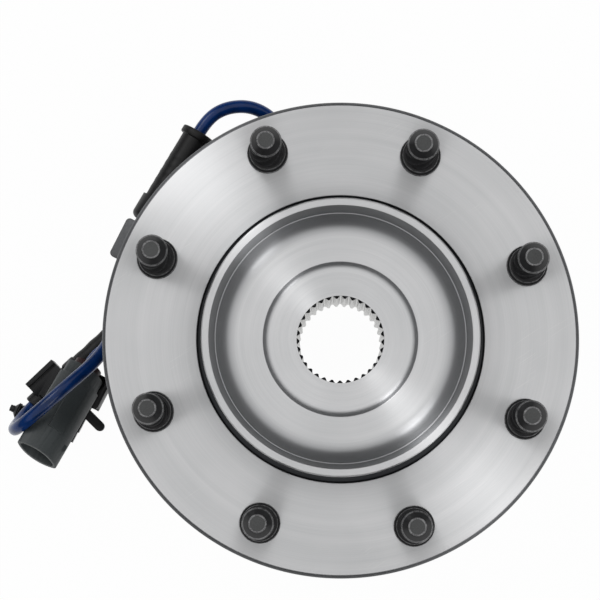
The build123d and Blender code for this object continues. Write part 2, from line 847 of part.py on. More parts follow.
# lead: straight runs joined by tangent arcs, from the boot to the connector's rear
route = [
    (lead_exit[0], lead_exit[1], lead_z),
    tuple(boot_plane.from_local_coords(Vector(0, 0, -lead_first_run))),
    (-55.8, 111.3, -50.8),
    (-44.2, 112.6, -53.2),
    (-33.9, 107.9, -57.8),
    (-27.6, 98.6, -63.8),
    (-27.2, 87.8, -70.2),
    (-32.6, 79.3, -76.6),
    (-41.8, 75.0, -81.6),
    (-53.5, 75.4, -84.3),
    (-66.5, 76.6, -84.85),
    (-79.0, 68.0, -84.85),
    (-89.0, 54.5, -83.4),
    (-96.8, 40.0, -79.0),
    (-102.4, 24.5, -72.0),
    (-107.4, 8.5, -62.5),
    (-113.7, -6.1, -51.2),
    (-128.6, -20.9, -43.0),
    (-143.7, -36.1, -41.4),
    (-152.0, -42.3, -50.6),
    (-153.1, -41.2, -67.5),
    (-148.0, -32.4, -78.2),
    (-136.0, -20.6, -79.8),
    (-123.4, -8.0, -81.7),
    (-109.6, 5.6, -83.65),
    (-106.1, 14.6, -84.6),
    (-105.2, 24.2, -84.85),
    (-98.4, 30.8, -84.85),
    (-88.9, 32.6, -84.85),
    (-79.7, 29.1, -84.85),
    (-73.9, 21.0, -84.85),
    (-73.4, 11.1, -84.85),
    (-78.3, 2.5, -84.5),
    (-88.0, -1.8, -83.2),
    (-99.6, 1.6, -80.6),
    (-106.6, 0.66, -78.4),
    (-112.4, -2.46, -76.0),
    tuple(Vector(*connector_rear) - connector_axis * lead_last_run),
    connector_rear,
]
corner_radii = []
for before, corner, after in zip(route, route[1:], route[2:]):
    run_in = Vector(*corner) - Vector(*before)
    run_out = Vector(*after) - Vector(*corner)
    half_turn = radians(run_in.get_angle(run_out)) / 2
    shorter = min(run_in.length, run_out.length)
    corner_radii.append(corner_share * shorter / tan(half_turn))
with BuildLine() as lead_path:
    FilletPolyline(*route, radius=corner_radii)
lead_wire = lead_path.wire()
lead_start = Plane(origin=lead_wire @ 0, z_dir=lead_wire % 0)
with BuildPart() as sensor_cable:
    with BuildSketch(lead_start):
        Circle(lead_r)
    sweep(path=lead_wire)
sensor_cable.part.label = "sensor_cable"
export_step(sensor_cable.part, "parts/sensor_cable.step")
lead_length = lead_wire.length
print("lead radii", [round(radius, 1) for radius in corner_radii])
print("lead length", round(lead_length, 1))
print("lead volume ratio", round(sensor_cable.part.volume / (pi * lead_r**2 * lead_length), 5))

# sleeve on the straight return run, with a thicker nose and collar beside the clip
run_start = Vector(*route[21])
run_end = Vector(*route[24])
run_axis = (run_end - run_start).normalized()
sleeve_plane = Plane(origin=run_start + run_axis * sleeve_start, x_dir=(0, 0, 1), z_dir=run_axis)
clip_half = clip_length / 2
collar_station = clip_station + clip_half + sleeve_collar_gap - sleeve_start
with BuildPart() as cable_sleeve:
    with BuildSketch(sleeve_plane):
        Circle(sleeve_r)
    extrude(amount=sleeve_length)
    with BuildSketch(sleeve_plane):
        Circle(sleeve_end_r)
    extrude(amount=sleeve_nose_length)
    with BuildSketch(sleeve_plane.offset(collar_station)):
        Circle(sleeve_end_r)
    extrude(amount=sleeve_collar_length)
    with BuildSketch(sleeve_plane):
        Circle(lead_r + sleeve_bore_clearance)
    extrude(amount=sleeve_length, mode=Mode.SUBTRACT)
cable_sleeve.part.label = "cable_sleeve"
export_step(cable_sleeve.part, "parts/cable_sleeve.step")

# clip block on the sleeve, standing on the floor, with a rail along its outer edge
clip_centre = run_start + run_axis * clip_station
clip_plane = Plane(
    origin=(clip_centre.X, clip_centre.Y, floor_z), x_dir=(run_axis.X, run_axis.Y, 0), z_dir=(0, 0, 1)
)
with BuildPart() as cable_clip:
    with BuildSketch(clip_plane):
        with Locations((0, clip_shift)):
            Rectangle(clip_length, clip_width)
    extrude(amount=clip_height)
    with BuildSketch(clip_plane.offset(clip_height)):
        with Locations((0, clip_shift + clip_width / 2 - clip_rail_width / 2)):
            Rectangle(clip_length, clip_rail_width)
    extrude(amount=clip_rail_height)
    with BuildSketch(clip_plane.offset(clip_height)):
        with Locations((0, clip_shift + clip_width / 2 - clip_rail_width - clip_groove_width / 2)):
            Rectangle(clip_length, clip_groove_width)
    extrude(amount=-clip_groove_depth, mode=Mode.SUBTRACT)
    with BuildSketch(sleeve_plane):
        Circle(sleeve_r + clip_bore_clearance)
    extrude(amount=sleeve_length, mode=Mode.SUBTRACT)
    with BuildSketch(sleeve_plane):
        Circle(sleeve_end_r + clip_bore_clearance)
    extrude(amount=sleeve_nose_length + clip_bore_clearance, mode=Mode.SUBTRACT)
cable_clip.part.label = "cable_clip"
export_step(cable_clip.part, "parts/cable_clip.step")

# mounting clip: plate, cradle under the connector, tongue, and ribbed push pin
mount_plane = Plane(
    origin=(connector_rear[0], connector_rear[1], floor_z), x_dir=connector_side, z_dir=(0, 0, 1)
)
pin_axis = (cos(radians(pin_turn)), sin(radians(pin_turn)), 0)
pin_height = floor_z + pin_rib_r
pin_plane = Plane(origin=(pin_tip[0], pin_tip[1], pin_height), x_dir=(0, 0, 1), z_dir=pin_axis)
with BuildPart() as mounting_clip:
    with BuildSketch(mount_plane):
        with Locations((0, -mount_plate_station)):
            Rectangle(mount_plate_width, mount_plate_length)
        with Locations(((cradle_inner + cradle_outer) / 2, -(cradle_front + cradle_back) / 2)):
            Rectangle(cradle_outer - cradle_inner, cradle_back - cradle_front)
        arm_length = mount_plate_station - cradle_back
        with Locations((cradle_inner + arm_width / 2, -cradle_back - arm_length / 2)):
            Rectangle(arm_width, arm_length)
        with Locations(Location((*tongue_root, 0), (0, 0, tongue_turn))):
            with Locations((tongue_length / 2, 0)):
                Rectangle(tongue_length, tongue_width)
            with Locations((tongue_length, 0)):
                Circle(tongue_width / 2)
    extrude(amount=mount_plate_thickness)
    with BuildSketch(mount_plane.offset(mount_plate_thickness)):
        with Locations(((cradle_inner + cradle_outer) / 2, -(cradle_front + cradle_back) / 2)):
            RectangleRounded(cradle_outer - cradle_inner, cradle_back - cradle_front, cradle_fillet)
    extrude(amount=cradle_height - mount_plate_thickness)
    envelope = shell_outline(connector_plane.offset(-seal_length), -cradle_clearance)
    extrude(envelope, amount=connector_length, mode=Mode.SUBTRACT)
    # push pin
    with BuildSketch(pin_plane):
        Circle(pin_ball_r)
    extrude(amount=pin_ball_length)
    with BuildSketch(pin_plane.offset(pin_ball_length)):
        Circle(pin_shaft_r)
    extrude(amount=pin_length)
    for rib in range(pin_rib_count):
        rib_plane = pin_plane.offset(pin_ball_length + rib * pin_rib_pitch)
        with BuildSketch(rib_plane):
            Circle(pin_shaft_r)
        with BuildSketch(rib_plane.offset(pin_rib_pitch * 0.8)):
            Circle(pin_rib_r - rib * pin_rib_taper)
        loft()
mounting_clip.part.label = "mounting_clip"
export_step(mounting_clip.part, "parts/mounting_clip.step")
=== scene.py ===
import bmesh
import bpy
import math
import numpy as np
from mathutils import Matrix, Vector


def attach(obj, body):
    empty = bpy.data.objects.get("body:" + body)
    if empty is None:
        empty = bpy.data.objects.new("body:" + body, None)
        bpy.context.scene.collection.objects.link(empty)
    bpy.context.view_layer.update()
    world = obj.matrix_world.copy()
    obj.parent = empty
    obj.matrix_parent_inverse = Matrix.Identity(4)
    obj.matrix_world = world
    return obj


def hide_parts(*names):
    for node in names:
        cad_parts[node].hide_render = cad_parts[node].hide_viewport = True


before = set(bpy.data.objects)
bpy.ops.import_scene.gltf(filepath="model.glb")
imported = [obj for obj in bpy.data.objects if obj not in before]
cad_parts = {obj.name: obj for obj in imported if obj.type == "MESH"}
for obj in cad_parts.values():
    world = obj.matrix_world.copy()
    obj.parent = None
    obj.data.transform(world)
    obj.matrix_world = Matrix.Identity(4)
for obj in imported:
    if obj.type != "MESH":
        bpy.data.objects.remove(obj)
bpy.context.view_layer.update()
print("frame loaded")

# lengths are in mm and angles in degrees, unless a name or a note says otherwise
mm = 0.001
tau = 2 * math.pi


# materials

def hexColour(code):
    # sRGB hex to linear: below 0.04045 divide by 12.92, above it ((c + 0.055) / 1.055) to the
    # power 2.4
    parts = np.array([int(code[i:i + 2], 16) / 255 for i in (0, 2, 4)])
    linear = np.where(parts <= 0.04045, parts / 12.92, ((parts + 0.055) / 1.055) ** 2.4)
    return (*linear.tolist(), 1.0)


def grey(value):
    return (value, value, value, 1.0)


def addNode(tree, kind, inputs=None, stops=(), **settings):
    # one node: settings are its properties, inputs are values or the sockets that feed it, and
    # stops are a colour ramp's (position, colour) pairs
    node = tree.nodes.new(kind)
    for key, value in settings.items():
        setattr(node, key, value)
    for key, value in (inputs or {}).items():
        if isinstance(value, bpy.types.NodeSocket):
            tree.links.new(value, node.inputs[key])
        else:
            node.inputs[key].default_value = value
    if stops:
        elements = node.color_ramp.elements
        while len(elements) < len(stops):
            elements.new(0.5)
        for element, (place, colour) in zip(elements, stops):
            element.position = place
            element.color = colour
    return node


def startMaterial(name, metallic, ior=None, **sockets):
    # a principled shader with the values that are the same all over the surface
    material = bpy.data.materials.new(name)
    material.use_nodes = True
    tree = material.node_tree
    shader = tree.nodes["Principled BSDF"]
    shader.inputs["Metallic"].default_value = metallic
    if ior:
        shader.inputs["IOR"].default_value = ior
    for key, value in sockets.items():
        shader.inputs[key.replace("_", " ")].default_value = value
    return material, tree, shader


def linkSurface(tree, shader, colour, gloss, lowest, highest, height, depthMm):
    # colour; roughness, which is gloss from 0..1 spread to lowest..highest; and bumps of depthMm
    rough = addNode(tree, "ShaderNodeMapRange", {
        "Value": gloss, "To Min": lowest, "To Max": highest})
    bumps = addNode(tree, "ShaderNodeBump", {"Height": height, "Distance": depthMm * mm,
                                             "Strength": 1.0})
    tree.links.new(colour, shader.inputs["Base Color"])
    tree.links.new(rough.outputs["Result"], shader.inputs["Roughness"])
    tree.links.new(bumps.outputs["Normal"], shader.inputs["Normal"])


def lathePattern(tree, grooveMm, arcTurns):
    # noise that runs round the piece: fine along the profile (UV v, in metres), long along the turn
    place = addNode(tree, "ShaderNodeTexCoord").outputs["Object"]
    flat = addNode(tree, "ShaderNodeVectorMath", {0: place, 1: (1, 1, 0)}, operation="MULTIPLY")
    turn = addNode(tree, "ShaderNodeVectorMath", {0: flat.outputs[0]}, operation="NORMALIZE")
    wide = addNode(tree, "ShaderNodeVectorMath", {0: turn.outputs[0], "Scale": arcTurns},
                   operation="SCALE")
    uv = addNode(tree, "ShaderNodeUVMap", uv_map="lathe").outputs["UV"]
    along = addNode(tree, "ShaderNodeSeparateXYZ", {0: uv}).outputs["Y"]
    step = addNode(tree, "ShaderNodeMath", {0: along, 1: 1 / (grooveMm * mm)}, operation="MULTIPLY")
    lift = addNode(tree, "ShaderNodeCombineXYZ", {"Z": step.outputs[0]})
    both = addNode(tree, "ShaderNodeVectorMath", {0: wide.outputs[0], 1: lift.outputs[0]},
                   operation="ADD")
    return addNode(tree, "ShaderNodeTexNoise", {
        "Vector": both.outputs[0], "Scale": 1.0, "Detail": 3.0, "Roughness": 0.6}).outputs["Fac"]


def scaledNoise(tree, sizeMm, finer=(1, 1, 1), turnDeg=(0, 0, 0), detail=3.0):
    # noise on turned object coordinates, with a grain of about sizeMm; finer says how many times
    # finer it is along each axis
    place = addNode(tree, "ShaderNodeTexCoord").outputs["Object"]
    turned = addNode(tree, "ShaderNodeMapping", {
        "Vector": place, "Scale": tuple(1 / times for times in finer),
        "Rotation": tuple(math.radians(a) for a in turnDeg)}, vector_type="TEXTURE")
    return addNode(tree, "ShaderNodeTexNoise", {
        "Vector": turned.outputs[0], "Scale": 1 / (sizeMm * mm), "Detail": detail}).outputs["Fac"]


# lathe marks: fine grooves, bands of bandWidth grooves, and slow stains; the arcs say how often the
# marks change in a turn
lathe = {
    "grooveArc": 1.1, "bandArc": 0.5, "bandWidth": 9, "stainMm": 38, "darkAt": 0.36,
    "lightAt": 0.62, "smoother": 0.05, "rougher": 0.07,
}
# handling scratches: noise drawn out that many times along one direction, of which only the peaks
# show, and only in patches
scratch = {
    "colour": "F2F1EE", "grainMm": 26, "drawnOut": 60, "turnDeg": 35, "peak": (0.66, 0.70),
    "patchMm": 30, "patchTurnDeg": 11, "patch": (0.56, 0.64),
}


def turnedSteel(name, dark, light, roughness, grooveMm, grooveDepthMm, anisotropy, scratches=0.0,
                paintedShade=None):
    # carbon steel turned on a lathe: bright, with tool marks round the axis that draw the
    # highlight out into a fan across them
    material, tree, shader = startMaterial(name, 1.0, Anisotropic=anisotropy,
                                           Anisotropic_Rotation=0.25)
    marks = lathePattern(tree, grooveMm, lathe["grooveArc"])
    bands = lathePattern(tree, grooveMm * lathe["bandWidth"], lathe["bandArc"])
    stain = scaledNoise(tree, lathe["stainMm"], detail=2.0)
    # the mean of the three picks the colour
    mixed = addNode(tree, "ShaderNodeMath", {0: marks, 1: bands}, operation="ADD").outputs[0]
    mixed = addNode(tree, "ShaderNodeMath", {0: mixed, 1: stain}, operation="ADD").outputs[0]
    share = addNode(tree, "ShaderNodeMath", {0: mixed, 1: 1 / 3}, operation="MULTIPLY").outputs[0]
    stops = [(lathe["darkAt"], hexColour(dark)), (lathe["lightAt"], hexColour(light))]
    colour = addNode(tree, "ShaderNodeValToRGB", {"Fac": share}, stops).outputs["Color"]
    if scratches:
        line = scaledNoise(tree, scratch["grainMm"], (1, scratch["drawnOut"], 1),
                           (0, 0, scratch["turnDeg"]), 1.0)
        start, full = scratch["peak"]
        line = addNode(tree, "ShaderNodeValToRGB", {"Fac": line},
                       [(start, grey(0)), (full, grey(1))])
        here = scaledNoise(tree, scratch["patchMm"], turnDeg=(0, 0, scratch["patchTurnDeg"]),
                           detail=1.0)
        start, full = scratch["patch"]
        here = addNode(tree, "ShaderNodeValToRGB", {"Fac": here},
                       [(start, grey(0)), (full, grey(scratches))])
        mark = addNode(tree, "ShaderNodeMath", {0: line.outputs["Color"], 1: here.outputs["Color"]},
                       operation="MULTIPLY")
        colour = addNode(tree, "ShaderNodeMix", {
            0: mark.outputs[0], 6: colour, 7: hexColour(scratch["colour"])},
            data_type="RGBA").outputs[2]
    if paintedShade:
        # painted shade, a grey mixed into the colour by radius: each pair is a radius in mm and the
        # share of the metal that the painted shade covers there
        place = addNode(tree, "ShaderNodeTexCoord").outputs["Object"]
        flat = addNode(tree, "ShaderNodeVectorMath", {0: place, 1: (1, 1, 0)}, operation="MULTIPLY")
        away = addNode(tree, "ShaderNodeVectorMath", {0: flat.outputs[0]}, operation="LENGTH")
        outermost = paintedShade["cover"][-1][0]
        fac = addNode(tree, "ShaderNodeMath", {0: away.outputs["Value"], 1: outermost * mm},
                      operation="DIVIDE").outputs[0]
        stops = [(at / outermost, grey(part)) for at, part in paintedShade["cover"]]
        cover = addNode(tree, "ShaderNodeValToRGB", {"Fac": fac}, stops).outputs["Color"]
        colour = addNode(tree, "ShaderNodeMix", {0: cover, 6: colour, 7: hexColour(paintedShade["colour"])},
                         data_type="RGBA").outputs[2]
    linkSurface(tree, shader, colour, marks, roughness - lathe["smoother"],
                roughness + lathe["rougher"], marks, grooveDepthMm)
    tangent = addNode(tree, "ShaderNodeTangent", direction_type="UV_MAP", uv_map="lathe")
    tree.links.new(tangent.outputs[0], shader.inputs["Tangent"])
    return material


# where the mean of grain and patch turns dark and light, and how far the patches move the roughness
grained = {"darkAt": 0.34, "lightAt": 0.64, "roughnessSpread": 0.07}


def grainedMaterial(name, dark, light, roughness, grainMm, depthMm, metallic=0.0, ior=None,
                    finer=(1, 1, 1), patchMm=22, **sockets):
    # a surface with one fine grain, and slow patches in its colour and gloss
    material, tree, shader = startMaterial(name, metallic, ior, **sockets)
    grain = scaledNoise(tree, grainMm, finer)
    patch = scaledNoise(tree, patchMm, detail=2.0)
    both = addNode(tree, "ShaderNodeMath", {0: grain, 1: patch}, operation="ADD").outputs[0]
    mean = addNode(tree, "ShaderNodeMath", {0: both, 1: 0.5}, operation="MULTIPLY").outputs[0]
    stops = [(grained["darkAt"], hexColour(dark)), (grained["lightAt"], hexColour(light))]
    colour = addNode(tree, "ShaderNodeValToRGB", {"Fac": mean}, stops).outputs["Color"]
    linkSurface(tree, shader, colour, patch, roughness - grained["roughnessSpread"],
                roughness + grained["roughnessSpread"], grain, depthMm)
    return material


# mill-turned hub: bright face, pilot and dish
turnedFaceSteel = turnedSteel("turned_steel_face", "C4C5C6", "D2D2D3", roughness=0.37,
                              grooveMm=0.35, grooveDepthMm=0.0015, anisotropy=0.92,
                              scratches=0.22)
# the dish is cut with a finer feed; grey painted shade darkens it up its wall and on its step
dishPaintedShade = {
    "colour": "949597",
    "cover": [(32.0, 0), (33.6, 0.8), (34.8, 1), (35.05, 0), (46.5, 0), (51.8, 0.9), (55.8, 1),
              (58.7, 0.8)],
}
dishSteel = turnedSteel("fine_turned_steel_dish", "C0C1C2", "CFCFD0", roughness=0.31, grooveMm=0.25,
                        grooveDepthMm=0.001, anisotropy=0.91, scratches=0.12, paintedShade=dishPaintedShade)
# the relief groove, the bore's lead-in and the flange's back are painted near black: painted shade
darkShadeSteel = turnedSteel("painted_dark_shade_turned_steel", "2E2F31", "3E3F41", roughness=0.42, grooveMm=0.5,
                         grooveDepthMm=0.004, anisotropy=0.4)
# the flange's rim is turned too; its steel is painted darker, as painted shade on the rim
rimShadeSteel = turnedSteel("painted_shade_turned_steel_rim", "6A6B6D", "808183", roughness=0.38, grooveMm=0.4,
                       grooveDepthMm=0.003, anisotropy=0.5)
# broached teeth: cut along the axis, so that the grain is drawn out along it
broachedSteel = grainedMaterial("broached_steel", "A9A9A8", "CFCFCD", roughness=0.33, grainMm=0.6,
                                depthMm=0.006, metallic=1.0, finer=(6, 6, 0.4))
# manganese phosphate on cold-formed steel: near black, fine crystals, a dull sheen
phosphateSteel = grainedMaterial("phosphated_steel", "121213", "1E1E20", roughness=0.46,
                                 grainMm=0.25, depthMm=0.012, Specular_IOR_Level=0.25)
# the same coat painted lighter along the edges: a painted highlight on each edge ring
edgeHighlightSteel = grainedMaterial("painted_edge_highlight_phosphated_steel", "39393A", "8E8E8F", roughness=0.38,
                              grainMm=0.5, depthMm=0.008, metallic=0.5, patchMm=2)
# the sheared end of the stud, where the coat is thin and grey
shearedSteel = grainedMaterial("sheared_phosphated_steel", "2C2D2D", "454646", roughness=0.44,
                               grainMm=0.4, depthMm=0.012)
# ground and honed bearing steel
groundSteel = grainedMaterial("ground_bearing_steel", "C2C5C8", "D3D5D7", roughness=0.16,
                              grainMm=0.2, depthMm=0.001, metallic=1.0)
# pressed low-carbon strip, zinc plated
pressedSteel = grainedMaterial("pressed_zinc_steel", "9C9FA1", "B1B3B5", roughness=0.34,
                               grainMm=0.8, depthMm=0.006, metallic=1.0)
# forged housing with shot-blast texture, lightly oiled
forgedSteel = grainedMaterial("forged_blasted_steel", "77797B", "8E9092", roughness=0.46,
                              grainMm=0.7, depthMm=0.03, metallic=1.0, patchMm=35)
# pressed bracket with a dull grey dip coat
dippedSteel = grainedMaterial("dipped_grey_steel", "5C5D5F", "6D6E70", roughness=0.5, grainMm=0.9,
                              depthMm=0.015, metallic=0.4)
# glass-filled nylon 66, moulded: fine spark-eroded texture, satin
blackNylon = grainedMaterial("moulded_black_nylon", "0C0D0E", "18191B", roughness=0.44,
                             grainMm=0.35, depthMm=0.012, ior=1.53, Specular_IOR_Level=0.28)
greyNylon = grainedMaterial("moulded_grey_nylon", "363B3C", "454A4B", roughness=0.45, grainMm=0.35,
                            depthMm=0.012, ior=1.53, Specular_IOR_Level=0.4)
# nitrile rubber, moulded: matt with a faint bloom
blackRubber = grainedMaterial("moulded_black_rubber", "0B0B0C", "151516", roughness=0.48,
                              grainMm=0.5, depthMm=0.015, ior=1.52, Specular_IOR_Level=0.28)
# silicone seal, moulded: dark red, satin
redSilicone = grainedMaterial("moulded_red_silicone", "1E0809", "2E0D10", roughness=0.4,
                              grainMm=0.4, depthMm=0.008, ior=1.41)
# tinned brass terminals: pale and bright
tinnedBrass = grainedMaterial("tinned_brass", "B4B0A4", "C6C3B8", roughness=0.3, grainMm=0.4,
                              depthMm=0.003, metallic=1.0)
# polyurethane jacket, extruded: deep blue, glossy, slow waviness
blueJacket = grainedMaterial("extruded_blue_polyurethane", "001F4A", "063372", roughness=0.24,
                             grainMm=5.0, depthMm=0.012, ior=1.5, patchMm=30,
                             Specular_IOR_Level=0.3)
print("materials made")


# mesh helpers

mergeMm = 0.002  # points nearer than this are one


def closeSurface(mesh):
    # points that meet at a pole or a seam become one, and the faces point outwards: then the signed
    # volume, a third of each face's area times its distance from the origin, added up, is positive
    shell = bmesh.new()
    shell.from_mesh(mesh)
    bmesh.ops.remove_doubles(shell, verts=shell.verts, dist=mergeMm * mm)
    if shell.calc_volume(signed=True) < 0:
        bmesh.ops.reverse_faces(shell, faces=shell.faces)
    shell.to_mesh(mesh)
    shell.free()


def gridMesh(name, points, materials, closedAcross=True, slots=None, lengths=None, sharpDeg=32):
    # points: rows x columns x 3. Neighbouring rows and columns are joined by quads, and the last
    # column joins the first when it is closed across. slots gives each run of faces its material,
    # and lengths the UV v of each row in metres. Edges sharper than sharpDeg stay sharp.
    rows, columns = points.shape[:2]
    index = np.arange(rows * columns).reshape(rows, columns)
    nextIndex = np.roll(index, -1, axis=1)
    if not closedAcross:
        index, nextIndex = index[:, :-1], nextIndex[:, :-1]
    quads = np.stack([index[:-1], nextIndex[:-1], nextIndex[1:], index[1:]], axis=-1)
    mesh = bpy.data.meshes.new(name)
    mesh.from_pydata(points.reshape(-1, 3), [], quads.reshape(-1, 4))
    across = quads.shape[1]
    if lengths is not None:
        low = np.broadcast_to(np.arange(across) / across, (rows - 1, across))
        high = low + 1 / across
        start = np.broadcast_to(lengths[:-1, None], low.shape)
        end = np.broadcast_to(lengths[1:, None], low.shape)
        uv = np.stack([np.stack([low, start], -1), np.stack([high, start], -1),
                       np.stack([high, end], -1), np.stack([low, end], -1)], axis=2)
        mesh.uv_layers.new(name="lathe").data.foreach_set("uv", uv.astype(np.float32).ravel())
    for material in materials:
        mesh.materials.append(material)
    if slots is not None:
        faceSlots = np.repeat(np.asarray(slots, np.int32), across)
        mesh.polygons.foreach_set("material_index", faceSlots)
    closeSurface(mesh)
    mesh.shade_smooth()
    mesh.set_sharp_from_angle(angle=math.radians(sharpDeg))
    mesh.update()
    piece = bpy.data.objects.new(name, mesh)
    bpy.context.scene.collection.objects.link(piece)
    return piece


def roundCorners(profile, setback, steps):
    # each corner becomes a quadratic curve from setback before it to setback after it:
    # (1-t)^2 a + 2t(1-t) corner + t^2 b; the setback is held to 0.49 of the shorter side
    before = np.roll(profile, 1, axis=0)
    after = np.roll(profile, -1, axis=0)
    backward, forward = before - profile, after - profile
    backLength = np.linalg.norm(backward, axis=1)
    foreLength = np.linalg.norm(forward, axis=1)
    reach = np.minimum(np.asarray(setback), 0.49 * np.minimum(backLength, foreLength))
    a = profile + backward * (reach / backLength)[:, None]
    b = profile + forward * (reach / foreLength)[:, None]
    t = np.linspace(0, 1, steps)[None, :, None]
    curve = (1 - t) ** 2 * a[:, None] + 2 * t * (1 - t) * profile[:, None] + t ** 2 * b[:, None]
    return curve.reshape(-1, 2)


def profileLengths(profile):
    # running length along the profile
    return np.concatenate([[0], np.cumsum(np.linalg.norm(np.diff(profile, axis=0), axis=1))])


# wheel hub: one surface, the profile turned about Z; the bore rows carry the spline teeth
hub = {
    "flangeRadius": 107.2, "flangeThickness": 13.5, "flangeChamfer": 1.4, "pilotRadius": 62.05,
    "pilotHeight": 15.1, "pilotChamfer": 0.5, "lipWidth": 3.35, "grooveWidth": 1.95,
    "grooveDepth": 1.2, "grooveSlope": 0.9, "toothCount": 33, "toothDepth": 1.26, "toothPhase": 3.3,
    "toothTop": 0.4, "toothFlank": 0.3, "boreRadius": 18.5, "boreTop": -4.5, "boreEnd": -56.0,
    "rearBore": 22.0, "leadInRadius": 20.6, "dishFloorRadius": 32.1,
    # the dish's step, floor edge, wall and thin land: radius, height, rounding
    "dishWall": [(33.6, -3.95, 0.9), (35.0, -2.27, 0.25), (51.4, -1.08, 5.5), (55.85, 5.5, 0.1),
                 (56.35, 5.62, 0.1)],
    "filletRadius": 47, "filletHeight": 3, "barrelRadius": 44, "barrelEnd": -26,
    "spindleRadius": 29, "spindleEnd": -82, "collarRadius": 36, "collarChamfer": 2,
    "rearEnd": -86, "rearChamfer": 1, "toothEndStep": 0.05, "cornerSteps": 4, "sharpDeg": 24,
    # places across one tooth's pitch, closer together on the flanks
    "pitchColumns": [0, 0.05, 0.1, 0.17, 0.25, 0.33, 0.4, 0.45, 0.5, 0.55, 0.6, 0.67, 0.75, 0.83,
                     0.9, 0.95],
}


def hubSurface(hub):
    # radius = profile's radius + the row's tooth share * toothDepth * wave; x and y are
    # radius times cos and sin of the turn
    pilot, pilotTop, groove = hub["pilotRadius"], hub["pilotHeight"], hub["grooveWidth"]
    flange, back, edge = hub["flangeRadius"], -hub["flangeThickness"], hub["flangeChamfer"]
    bore, top, end, rear = hub["boreRadius"], hub["boreTop"], hub["boreEnd"], hub["rearBore"]
    barrel, spindle, collar = hub["barrelRadius"], hub["spindleRadius"], hub["collarRadius"]
    barrelEnd, spindleEnd, rearEnd = hub["barrelEnd"], hub["spindleEnd"], hub["rearEnd"]
    pilotEdge, collarEdge, tooth = hub["pilotChamfer"], hub["collarChamfer"], hub["toothDepth"]
    # darkShade and rim runs carry painted shade: darker copies of the turned steel
    face, darkShade, broached, dish, rim = range(5)
    # radius, height, rounding, material of the run that follows, tooth share
    corners = np.array([
        (bore, top - tooth, 0.01, darkShade, 1), (bore + tooth, top, 0.01, dish, 0),
        (hub["leadInRadius"], top, 0.05, dish, 0), (hub["dishFloorRadius"], top, 1.3, dish, 0),
        *[(*corner, dish, 0) for corner in hub["dishWall"]],
        (pilot - hub["lipWidth"], pilotTop, 0.25, face, 0),
        (pilot - pilotEdge, pilotTop, 0.15, face, 0), (pilot, pilotTop - pilotEdge, 0.15, face, 0),
        (pilot, -hub["grooveDepth"], 0.2, darkShade, 0),
        (pilot + groove, -hub["grooveDepth"], 0.2, darkShade, 0),
        (pilot + groove + hub["grooveSlope"], 0, 0.2, face, 0),
        (flange - edge, 0, 0.25, rim, 0), (flange, -edge, 0.4, rim, 0),
        (flange, back + edge, 0.4, darkShade, 0), (flange - edge, back, 0.4, darkShade, 0),
        (hub["filletRadius"], back, 1.0, darkShade, 0),
        (barrel, back - hub["filletHeight"], 0.8, face, 0),
        (barrel, barrelEnd, 0.2, face, 0), (spindle, barrelEnd, 0.3, face, 0),
        (spindle, spindleEnd, 0.3, face, 0), (collar, spindleEnd, 0.4, face, 0),
        (collar, rearEnd + collarEdge, 0.3, face, 0), (collar - collarEdge, rearEnd, 0.3, face, 0),
        (rear + hub["rearChamfer"], rearEnd, 0.3, face, 0),
        (rear, rearEnd + hub["rearChamfer"], 0.3, face, 0),
        (rear, end, 0.2, face, 0), (bore + hub["toothEndStep"], end, 0.05, broached, 1),
    ])
    steps = hub["cornerSteps"]
    profile = roundCorners(corners[:, :2], corners[:, 2], steps)
    share = np.repeat(corners[:, 4], steps)
    slots = np.repeat(corners[:, 3], steps)
    profile = np.vstack([profile, profile[:1]])
    share, slots = np.append(share, share[0]), slots.astype(int)
    # tooth wave over one pitch: 1 in a gap, 0 on a tooth's top, straight flanks between
    column = np.array(hub["pitchColumns"])
    distance = np.minimum(column, 1 - column)
    wave = np.clip((hub["toothTop"] - distance) / hub["toothFlank"], 0, 1)
    count = hub["toothCount"]
    turn = (np.arange(count)[:, None] + column[None, :]).ravel() / count * tau
    turn = turn + math.radians(hub["toothPhase"])
    wave = np.tile(wave, count)
    radius = profile[:, :1] + share[:, None] * tooth * wave[None, :]
    height = np.broadcast_to(profile[:, 1:], radius.shape)
    points = np.stack([radius * np.cos(turn), radius * np.sin(turn), height], axis=-1) * mm
    return points, slots, profileLengths(profile) * mm


hubPoints, hubSlots, hubLengths = hubSurface(hub)
hubSteels = [turnedFaceSteel, darkShadeSteel, broachedSteel, dishSteel, rimShadeSteel]
hubPiece = gridMesh("hub_body", hubPoints, hubSteels, slots=hubSlots, lengths=hubLengths,
                    sharpDeg=hub["sharpDeg"])
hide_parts("wheel_hub")
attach(hubPiece, "hub")
print("hub made")


# wheel studs: a turned profile with a rolled thread, eight times round the pitch circle
stud = {
    "count": 8, "circleRadius": 90.0, "firstAngle": 22.5, "columns": 32, "threadPitch": 1.5,
    "threadDepth": 0.62, "threadStart": 7.0, "threadEnd": 39.4, "crestRadius": 7.0,
    "threadFade": 1.2, "rowsPerTurn": 6, "ridgeSlope": 1.25, "crestShare": 0.1,
    # radius and height: head, shank and collar below the thread, then the dog point above it
    "shank": [(0, -18.5), (10.4, -18.5), (11.0, -17.9), (11.0, -14.0), (10.5, -13.5), (7.9, -13.5),
              (7.9, -0.5), (9.2, -0.5), (9.2, 1.7), (8.9, 2.0), (8.35, 2.0), (8.2, 2.15),
              (8.2, 5.7), (7.9, 6.0), (7.05, 6.15), (7.0, 6.6)],
    "tip": [(7.0, 39.7), (6.95, 40.0), (6.6, 40.35), (6.35, 40.8), (4.45, 44.2), (4.1, 44.75),
            (3.8, 45.0), (3.3, 45.0), (3.15, 44.9), (0, 44.88)],
    # painted highlight runs, counted from the shank's start, the tip's start and the tip's end
    "highlightShank": [8, 12], "highlightTip": [0, 1, 2], "highlightEnd": [-4, -3], "shearedEnd": 2,
}


